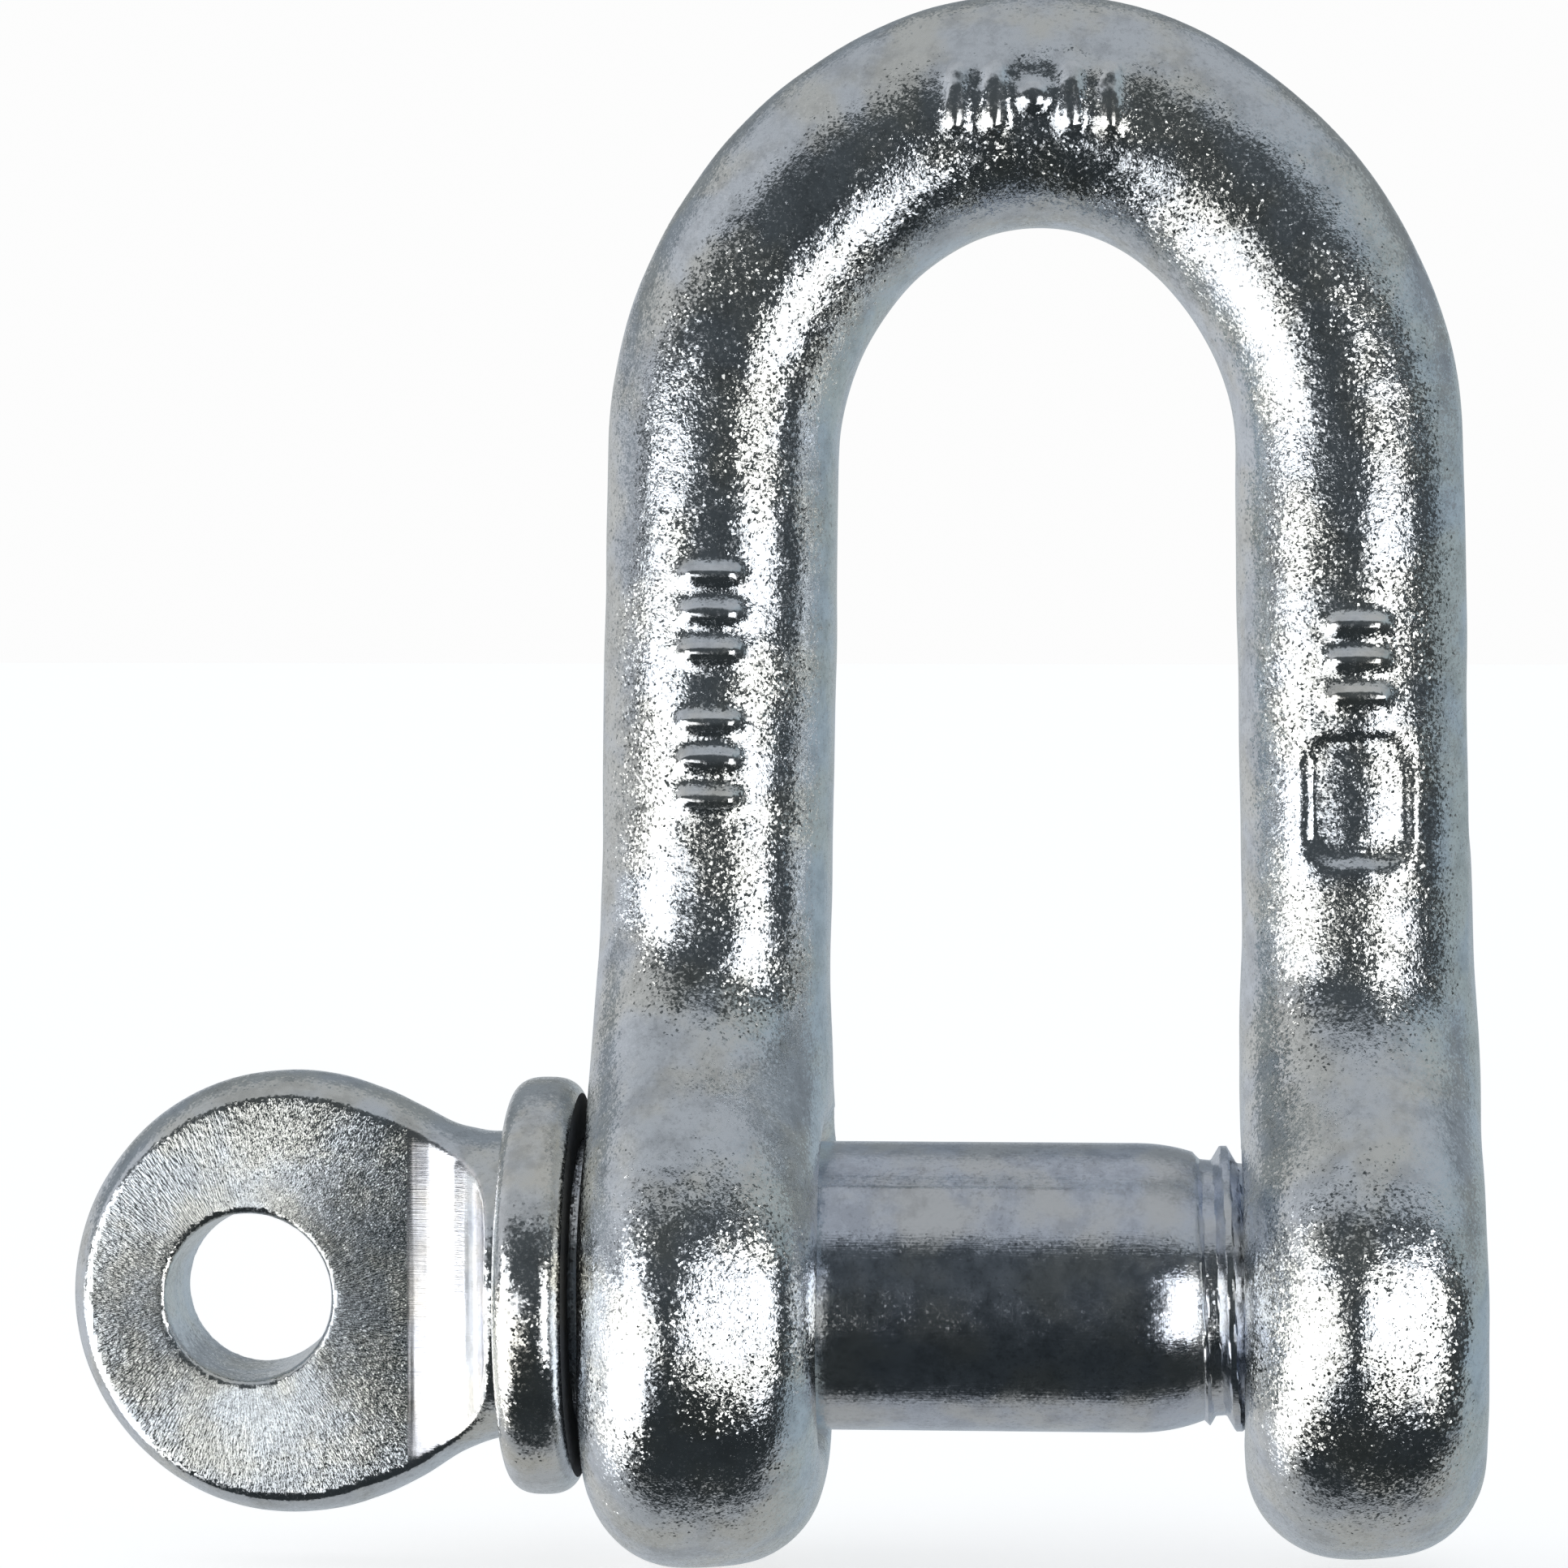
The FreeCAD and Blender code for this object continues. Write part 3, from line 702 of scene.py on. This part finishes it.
def struck_zinc(name, colour, roughness):
    """The eye tab's flat faces: short strokes that run out from the eye."""
    material, make, shader, place = start_material(name)
    make.feed(stained(make, place, colour, 0.7), shader.inputs["Base Color"])
    rough = make.ease(make.noise(place, 0.8, 3.0), 0.3, 0.7, 0.8 * roughness, 1.25 * roughness)
    make.feed(rough, shader.inputs["Roughness"])
    centre = (EYE_CENTRE * MM, 0.0, -TAB_DROP * MM)
    away = make.add("VectorMath", {0: place, 1: centre}, operation="SUBTRACT").outputs[0]
    x, _, z = make.add("SeparateXYZ", {0: away}).outputs
    squares = [make.maths("MULTIPLY", value, value) for value in (x, z)]
    reach = make.maths("SQRT", make.maths("ADD", *squares))
    turn_x = make.maths("MULTIPLY", make.maths("DIVIDE", x, reach), STROKES_IN_A_RADIAN)
    turn_z = make.maths("MULTIPLY", make.maths("DIVIDE", z, reach), STROKES_IN_A_RADIAN)
    outwards = make.maths("DIVIDE", reach, STROKE_LENGTH * MM)
    polar = make.add("CombineXYZ", {0: turn_x, 1: turn_z, 2: outwards}).outputs[0]
    strokes = make.add("TexNoise", {"Vector": polar, "Scale": 1.0, "Detail": 2.0}).outputs["Fac"]
    normal = make.bump(strokes, 0.16, 1.0)
    normal = make.bump(make.noise(place, 0.3, 2.0, 0.6), 0.03, 1.0, normal)
    normal = make.bump(make.noise(place, 4.0, 2.0), 0.20, 1.0, normal)
    make.feed(normal, shader.inputs["Normal"])
    return material


def gap_shade_matte(name, colour, roughness):
    """Painted shade for a narrow gap: a dark, dull, non-metal colour that stands in for the shadow that
    falls there.
    """
    material, make, shader, place = start_material(name)
    shader.inputs["Metallic"].default_value = 0.0
    shader.inputs["Specular IOR Level"].default_value = 0.1
    shader.inputs["Roughness"].default_value = roughness
    make.feed(stained(make, place, colour, 0.8), shader.inputs["Base Color"])
    make.feed(make.bump(make.noise(place, 0.5, 3.0), 0.03, 1.0), shader.inputs["Normal"])
    return material


# ---- studio --------------------------------------------------------------------------------------


FLOOR_GAP = 0.02  # between the floor and the lowest point of the bow
SOFTBOX_DISTANCE = 0.34  # metres from the origin
TENT_LEFT, TENT_RIGHT = (0.60, 0.61, 0.63), (0.35, 0.42, 0.46)
TENT_TOP, TENT_BOTTOM = (0.435, 0.45, 0.465), (0.40, 0.41, 0.415)
ROOM_LOW, ROOM_HIGH = (0.028, 0.033, 0.035), (0.064, 0.073, 0.078)
BACK_BAND = (0.25, 0.275, 0.295)
BACKDROP = (0.98, 0.98, 0.98)  # what the camera sees behind everything


def direction(azimuth, elevation):
    """Unit vector for angles in radians. Azimuth is from the front (-Y) towards +X."""
    return Vector((
        math.sin(azimuth) * math.cos(elevation),
        -math.cos(azimuth) * math.cos(elevation),
        math.sin(elevation),
    ))


def make_camera():
    camera = bpy.data.objects.new("camera", bpy.data.cameras.new("camera"))
    azimuth, elevation, distance = math.radians(4.2), math.radians(2.0), 0.430
    target = Vector((-0.0174, 0.0, 0.0347))
    camera.location = target + direction(azimuth, elevation) * distance
    camera.rotation_euler = (math.pi / 2 - elevation, 0, azimuth)
    camera.data.sensor_width = 36.0
    camera.data.lens = 142.9
    camera.data.clip_start, camera.data.clip_end = 0.01, 50.0
    bpy.context.scene.collection.objects.link(camera)
    bpy.context.scene.camera = camera


def make_floor():
    mesh = bpy.data.meshes.new("floor")
    reach, height = 4.0, (BOW_LOW[2] - FLOOR_GAP) * MM
    signs = ((-1, -1), (1, -1), (1, 1), (-1, 1))
    mesh.from_pydata([(reach * x, reach * y, height) for x, y in signs], [], [(0, 1, 2, 3)])
    floor = bpy.data.objects.new("floor", mesh)
    bpy.context.scene.collection.objects.link(floor)
    floor.visible_glossy = False
    material = bpy.data.materials.new("floor")
    material.use_nodes = True
    shader = material.node_tree.nodes["Principled BSDF"]
    shader.inputs["Base Color"].default_value = (0.9, 0.9, 0.9, 1)
    shader.inputs["Roughness"].default_value = 0.9
    shader.inputs["Emission Color"].default_value = (1, 1, 1, 1)
    shader.inputs["Emission Strength"].default_value = 0.66
    mesh.materials.append(material)


def softbox(name, azimuths, elevations, radiance):
    """A rectangular soft light that faces the origin and fills this range of directions, in
    degrees. It isn't seen by the camera."""
    azimuth, elevation = (math.radians(sum(ends) / 2) for ends in (azimuths, elevations))
    width, height = (
        2 * SOFTBOX_DISTANCE * math.tan(math.radians((ends[1] - ends[0]) / 2))
        for ends in (azimuths, elevations)
    )
    light = bpy.data.lights.new(name, "AREA")
    light.shape = "RECTANGLE"
    light.size, light.size_y = width, height
    light.energy = radiance * math.pi * width * height
    lamp = bpy.data.objects.new(name, light)
    away = direction(azimuth, elevation)
    lamp.location = away * SOFTBOX_DISTANCE
    lamp.rotation_euler = away.to_track_quat("Z", "Y").to_euler()
    lamp.visible_camera = False
    bpy.context.scene.collection.objects.link(lamp)


def make_world():
    """A pale tent, open towards the front and below, where the room is dark, with a darker band
    low at the back. The camera sees a plain backdrop instead."""
    world = bpy.data.worlds.new("studio")
    world.use_nodes = True
    bpy.context.scene.world = world
    make = Nodes(world.node_tree)
    outlook = make.add("TexCoord").outputs["Generated"]
    x, y, z = make.add("SeparateXYZ", {0: outlook}).outputs
    tent = make.mix(make.ease(x, -0.9, 0.9), TENT_LEFT, TENT_RIGHT)
    tent = make.mix(make.ease(z, 0.2, 0.9), tent, TENT_TOP)
    tent = make.mix(make.ease(z, -0.9, -0.3, 1.0, 0.0), tent, TENT_BOTTOM)
    from_front = make.maths("ARCTAN2", z, make.maths("MULTIPLY", y, -1.0))
    above = make.ease(from_front, math.radians(36), math.radians(48))
    below = make.ease(make.maths("MULTIPLY", from_front, -1.0), math.radians(90), math.radians(102))
    room = make.mix(make.ease(z, -0.8, 0.3), ROOM_LOW, ROOM_HIGH)
    shade = make.mix(make.maths("MAXIMUM", above, below), room, tent)
    from_back = make.maths("ARCTAN2", z, y)
    low_edge = make.ease(from_back, math.radians(8), math.radians(16))
    high_edge = make.ease(from_back, math.radians(43), math.radians(56), 1.0, 0.0)
    shade = make.mix(make.maths("MULTIPLY", low_edge, high_edge), shade, BACK_BAND)
    seen = make.add("LightPath").outputs["Is Camera Ray"]
    shade = make.mix(seen, shade, BACKDROP)
    make.feed(shade, make.nodes["Background"].inputs["Color"])


# ---- put together --------------------------------------------------------------------------------

# Sizes and heights of the unevenness that is too fine for the meshes
FORGED_GRAINS = [(3.0, 0.12), (0.9, 0.035), (0.32, 0.026), (0.16, 0.012)]
MARK_GRAINS = [(1.2, 0.03)]
COLLAR_GRAINS = [(3.0, 0.10), (0.9, 0.02), (0.3, 0.008)]
HEAD_GRAINS = [(3.0, 0.10), (0.9, 0.02), (0.25, 0.012)]
FORGED = forged_zinc("zinc_forged", (0.80, 0.83, 0.85), 0.12, FORGED_GRAINS, 0.19, 0.85)
COLLAR = forged_zinc("zinc_collar", (0.83, 0.84, 0.83), 0.14, COLLAR_GRAINS, 0.14, 0.85)
HEAD = forged_zinc("zinc_head", (0.80, 0.83, 0.85), 0.15, HEAD_GRAINS, 0.14, 0.85)
STRUCK = struck_zinc("zinc_struck", (0.64, 0.67, 0.68), 0.15)
SHEARED = sheared_zinc("zinc_sheared", (0.88, 0.88, 0.90), 0.16)
DRAWN = drawn_zinc("zinc_drawn", (0.74, 0.78, 0.85), 0.18)
MARKED = forged_zinc("zinc_marks", (0.86, 0.88, 0.89), 0.14, MARK_GRAINS, 0.04, 0.95)
# The collar's side that faces the ear gets painted shade: a dark dull colour in place of the shadow in
# the gap.
GAP_SHADE = gap_shade_matte("painted_gap_shade", (0.12, 0.125, 0.13), 0.9)


def bow_finish(centres, normals):
    """0 on the forging, 1 on the raised marks, which have been rubbed bright."""
    return marks(*(centres / MM).T) > 0.5


def collar_zinc_or_shade(centres, normals):
    """0 on the collar's rim, 1 on its side that faces the ear, which gets painted shade for the shadow
    in the gap.
    """
    return normals[:, 0] > 0.93


def pin_finish(centres, normals):
    """0 on the forged head, 1 on the tab's flat faces, 2 on the shank, 3 in the tab's hollows."""
    x, y, _ = (centres / MM).T
    across = np.abs(normals[:, 2])
    flat = (np.abs(normals[:, 1]) > 0.985) & (np.abs(y) < TAB_THICKNESS / 2 + 0.2)
    hollow = (x > TAB_FLAT_END - TAB_FLAT_FILLET) & (x < COLLAR_LOW[0] - 0.7) & (across < 0.4)
    finish = np.where(hollow, 3, np.where(flat, 1, 0))
    return np.where(x > COLLAR_LOW[0] - 0.2, 2, finish)


def paint(piece, materials, choose):
    """Gives each face one of the materials. choose gets the faces' centres and normals."""
    mesh = piece.data
    mesh.materials.clear()
    for material in materials:
        mesh.materials.append(material)
    count = len(mesh.polygons)
    centres, normals = np.empty(3 * count), np.empty(3 * count)
    mesh.polygons.foreach_get("center", centres)
    mesh.polygons.foreach_get("normal", normals)
    chosen = choose(centres.reshape(-1, 3), normals.reshape(-1, 3))
    mesh.polygons.foreach_set("material_index", chosen.astype(np.int32))


pieces = [
    (make_bow(), "bow", "bow", [FORGED, MARKED], bow_finish),
    (make_pin(), "pin", "screw_pin", [HEAD, STRUCK, DRAWN, SHEARED], pin_finish),
    (make_collar(), "collar", "pin_collar", [COLLAR, GAP_SHADE], collar_zinc_or_shade),
]
for piece, body, node, materials, choose in pieces:
    paint(piece, materials, choose)
    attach(piece, body)
    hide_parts(node)

make_camera()
make_floor()
make_world()
softbox("softbox_left", (-97, -47), (-43, -3), 2.0)
softbox("softbox_left_high", (-72, -38), (-3, 13), 2.2)
softbox("softbox_right", (20, 51), (-33, 13), 2.3)
softbox("softbox_low", (-47, -17), (-26, 0), 1.5)
bpy.context.scene.view_settings.view_transform = "Standard"
